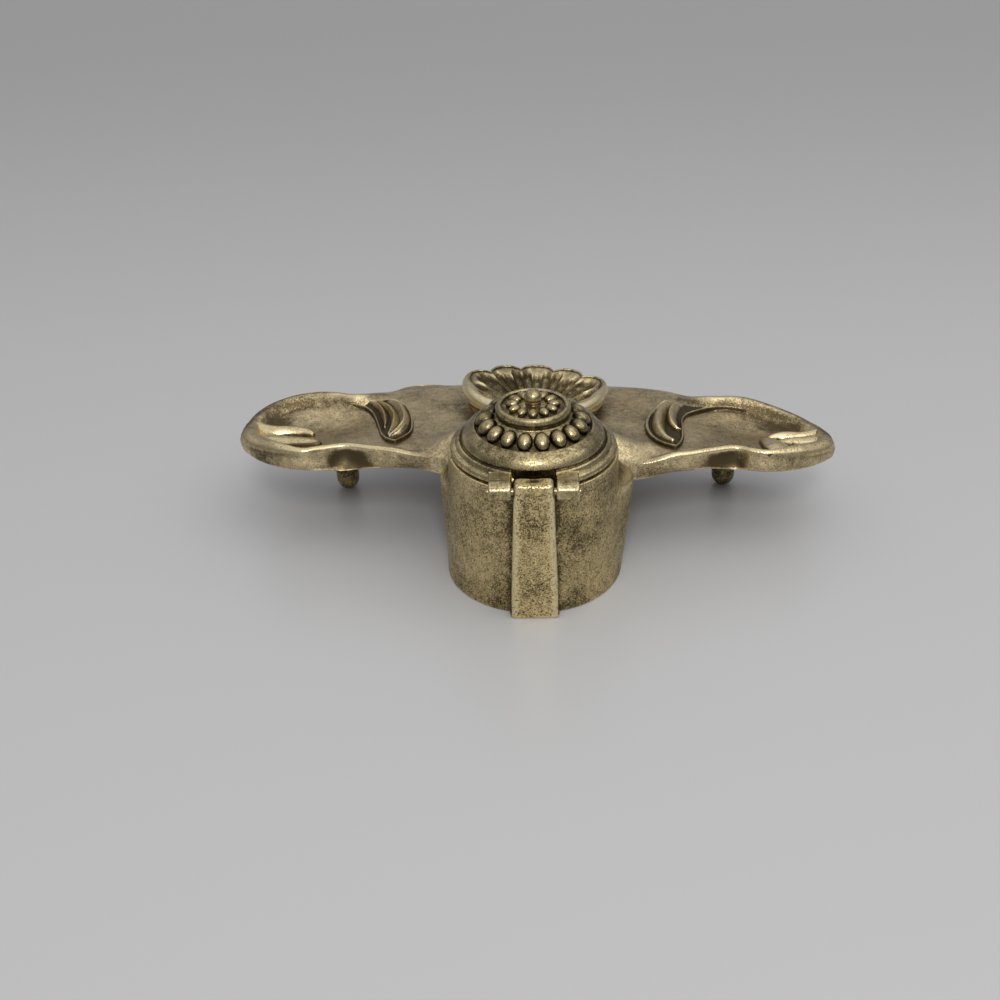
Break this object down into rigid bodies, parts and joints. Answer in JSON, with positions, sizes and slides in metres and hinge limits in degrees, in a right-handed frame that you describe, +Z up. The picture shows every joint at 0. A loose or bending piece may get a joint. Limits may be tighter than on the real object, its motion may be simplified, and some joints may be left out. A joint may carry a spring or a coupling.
{
  "type": "desk inkstand",
  "caption": "Cast brass desk inkstand: a winged pen tray with leaf scrolls and a shell ornament around a round ink well with a hinged, beaded lid.",
  "frame": {"origin": "centre of the ink well's flat bottom, on the desk", "axes": "+X to the right wing tip seen from the hinge side, +Y from the hinge to the shell ornament at the front, +Z up"},
  "size_m": [0.218, 0.1193, 0.0698],
  "materials": {
    "cast_brass": "aged, patinated casting with worn edges",
    "lid_brass": "aged, more polished on beads and rings",
    "pot_glass": "clear pressed glass",
    "pin_metal": "drawn rod"
  },
  "bodies": {
    "stand": {"tray_shell": "cast_brass", "well_cup": "cast_brass", "hinge_post": "cast_brass", "left_peg_foot": "cast_brass", "right_peg_foot": "cast_brass", "shell_ornament": "cast_brass", "left_leaf_scroll": "cast_brass", "right_leaf_scroll": "cast_brass", "left_rim_curl": "cast_brass", "right_rim_curl": "cast_brass", "ink_pot": "pot_glass", "hinge_pin": "pin_metal"},
    "lid": {"lid": "lid_brass", "lid_large_beads": "lid_brass", "lid_small_beads": "lid_brass", "lid_knob": "lid_brass"}
  },
  "joints": [
    {"name": "lid_hinge", "type": "hinge", "parent": "stand", "child": "lid", "pos_m": [0, -0.0312, 0.0483], "axis": [1, 0, 0], "range_deg": [0, 100]}
  ]
}
